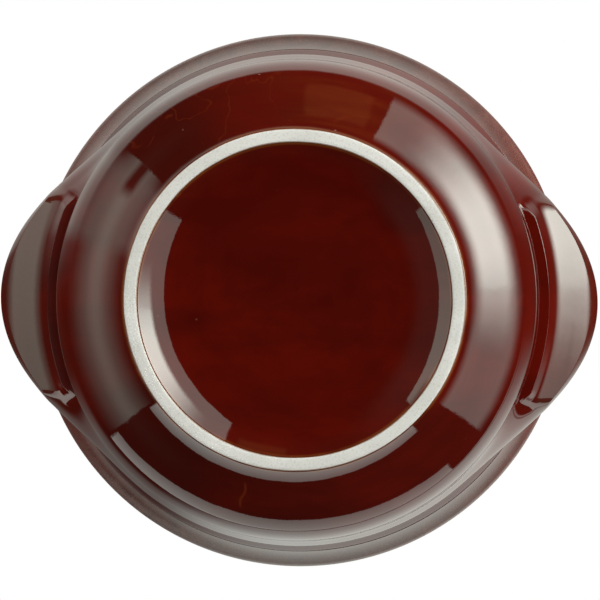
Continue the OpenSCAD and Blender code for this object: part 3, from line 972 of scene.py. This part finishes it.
def build_world():
    """White to the camera, even to matt surfaces, and a studio with soft boxes in the gloss."""
    world = bpy.data.worlds.new("studio")
    world.use_nodes = True
    bpy.context.scene.world = world
    world.cycles.sampling_method = "NONE"
    tree = world.node_tree
    tree.nodes.clear()
    way = tree.nodes.new("ShaderNodeTexCoord").outputs["Generated"]
    x, y, z = place(tree, "ShaderNodeSeparateXYZ", Vector=way).outputs
    turn = maths(tree, "DEGREES", maths(tree, "ARCTAN2", y, x))
    down = maths(tree, "DEGREES", maths(tree, "ARCCOSINE", times(tree, z, -1.0)))
    box_group = build_soft_box()
    lights = []

    def box(middle, half, near, far, side_blur, near_blur, far_blur=4.0):
        """A soft box in degrees, and how far aside of its middle each ray goes."""
        node = use_group(
            tree, box_group, Turn=turn, Down=down, Middle=middle, Half=half, Near=near, Far=far,
            Side_Blur=side_blur, Near_Blur=near_blur, Far_Blur=far_blur,
        )
        return node.outputs["Amount"], node.outputs["Aside"]

    def add(amount, strength, tint):
        """Adds a light of one colour, as bright as amount says in each direction."""
        colour = tuple(strength * share for share in tint)
        node = place(
            tree, "ShaderNodeVectorMath", {"operation": "SCALE"}, in0=colour, Scale=amount,
        )
        lights.append(node.outputs[0])

    # The large box on the right, with its lamp behind the cloth.
    right, aside = box(
        middle=-15.5, half=50.5, near=23.5, far=84.0, side_blur=0.4, near_blur=0.6, far_blur=6.0,
    )
    add(times(tree, right, ramp(tree, aside, -50.0, 50.0, 1.7, 1.4)), 1.0, COOL_WHITE)
    lamp, aside = box(
        middle=-19.5, half=60.0, near=40.0, far=75.5, side_blur=1.0, near_blur=3.0, far_blur=9.0,
    )
    glow = times(
        tree, ramp(tree, aside, -39.0, -6.0), ramp(tree, aside, 2.0, 36.0, 1.0, 0.0),
        ramp(tree, aside, 13.5, 16.5, 1.0, 0.78),
    )
    add(times(tree, lamp, glow), 10.2, COOL_WHITE)

    # The plainer box on the left, with a piece out of one side, and the wall beyond that side.
    left, aside = box(
        middle=-178.0, half=37.8, near=44.0, far=77.0, side_blur=0.4, near_blur=0.6,
        far_blur=19.0,
    )
    notch, _ = box(
        middle=-144.0, half=5.5, near=57.0, far=66.0, side_blur=2.5, near_blur=4.0, far_blur=4.0,
    )
    left = times(
        tree, left, maths(tree, "SUBTRACT", 1.0, notch), ramp(tree, down, 60.0, 74.0, 1.0, 0.72),
        ramp(tree, aside, -34.0, 34.0, 1.15, 1.9),
    )
    add(left, 1.0, BLUE_WHITE)
    side_wall, _ = box(
        middle=-154.0, half=11.0, near=74.0, far=150.0, side_blur=3.0, near_blur=12.0,
        far_blur=34.0,
    )
    add(side_wall, 0.5, COOL_WHITE)

    # White walls above the table on both long sides, and in one corner.
    fall = ramp(tree, down, 118.0, 182.0, 1.0, 0.3)
    top_wall, _ = box(middle=-96.0, half=52.0, near=96.0, far=200.0, side_blur=34.0, near_blur=3.5)
    add(times(tree, top_wall, fall), 1.6, WALL_WHITE)
    low_wall, _ = box(middle=67.0, half=44.0, near=98.5, far=200.0, side_blur=18.0, near_blur=1.5)
    seam = ramp(tree, distance(tree, down, 100.0), 0.4, 2.0, 0.35, 1.0)
    add(times(tree, low_wall, fall, seam), 1.95, WALL_WHITE)
    corner, _ = box(middle=130.0, half=24.0, near=112.0, far=200.0, side_blur=10.0, near_blur=9.0)
    add(times(tree, corner, fall), 0.38, WALL_WHITE)

    # The table's pale edge on one side.
    board, _ = box(
        middle=95.0, half=48.0, near=81.8, far=98.0, side_blur=0.4, near_blur=0.6, far_blur=1.2,
    )
    add(times(tree, board, ramp(tree, down, 80.0, 97.0, 1.3, 2.2)), 1.0, WALL_WHITE)

    # A brown thing on the table, and the room's faint warm light.
    brown, _ = box(
        middle=-80.0, half=9.5, near=48.0, far=77.0, side_blur=1.0, near_blur=3.0, far_blur=3.0,
    )
    add(brown, 0.62, TABLE_BROWN)
    add(ramp(tree, down, 30.0, 60.0), 0.03, ROOM_WARM)
    shade, _ = box(
        middle=180.0, half=50.0, near=16.0, far=60.0, side_blur=20.0, near_blur=12.0,
        far_blur=20.0,
    )
    add(shade, 0.12, SHADE_WARM)

    total = lights[0]
    for light in lights[1:]:
        total = vector_maths(tree, "ADD", total, light)
    path = tree.nodes.new("ShaderNodeLightPath").outputs
    even = maths(tree, "MULTIPLY_ADD", path["Is Diffuse Ray"], AMBIENT - 1.0, 1.0)
    plain = place(tree, "ShaderNodeCombineXYZ", X=even, Y=even, Z=even).outputs[0]
    shown = mix_colour(tree, path["Is Glossy Ray"], plain, total)
    background = place(tree, "ShaderNodeBackground", Color=shown, Strength=1.0)
    output = tree.nodes.new("ShaderNodeOutputWorld")
    tree.links.new(background.outputs[0], output.inputs["Surface"])


def area_lamp(name, place_mm, target_mm, size_mm, watts):
    """A soft square lamp that lights the clay and colour and stays out of reflections."""
    data = bpy.data.lights.new(name, "AREA")
    data.energy = watts
    data.shape = "SQUARE"
    data.size = size_mm * MM
    lamp = bpy.data.objects.new(name, data)
    bpy.context.scene.collection.objects.link(lamp)
    where = Vector(place_mm) * MM
    lamp.location = where
    lamp.rotation_mode = "QUATERNION"
    lamp.rotation_quaternion = (Vector(target_mm) * MM - where).to_track_quat("-Z", "Y")
    lamp.visible_glossy = False
    lamp.visible_camera = False


build_world()
area_lamp("low_key", (410, -730, -370), (0, 0, 20), size_mm=500, watts=8.0)
area_lamp("right_key", (840, 60, -150), (0, 0, 30), size_mm=400, watts=6.0)
area_lamp("left_key", (-840, 60, -150), (0, 0, 30), size_mm=400, watts=3.5)
area_lamp("high_key", (-420, -520, 820), (0, 0, 40), size_mm=600, watts=9.0)


# Camera

# Places, sensor and lens in millimetres, the turn about the view in degrees, clips in metres.
CAMERA_PLACE = (17.2, 0.6, -750.0)
CAMERA_TARGET = (-0.117, -0.05, 64.0)
CAMERA_TURN = 0.95
SENSOR_WIDTH = 36.0
LENS = 200.34
CLIP_START, CLIP_END = 0.01, 20.0


def build_camera():
    """Looks straight up at the foot, a little off the crock's axis and turned by a degree."""
    data = bpy.data.cameras.new("camera")
    data.sensor_width = SENSOR_WIDTH
    data.lens = LENS
    data.clip_start, data.clip_end = CLIP_START, CLIP_END
    camera = bpy.data.objects.new("camera", data)
    bpy.context.scene.collection.objects.link(camera)
    bpy.context.scene.camera = camera
    where = Vector(CAMERA_PLACE) * MM
    target = Vector(CAMERA_TARGET) * MM
    turn = math.radians(CAMERA_TURN)
    ahead = (target - where).normalized()
    right = Vector((math.cos(turn), -math.sin(turn), 0))
    right = (right - ahead * right.dot(ahead)).normalized()
    up = right.cross(ahead)
    camera.matrix_world = Matrix((right, up, -ahead)).transposed().to_4x4()
    camera.location = where


build_camera()
bpy.context.scene.view_settings.view_transform = "Standard"
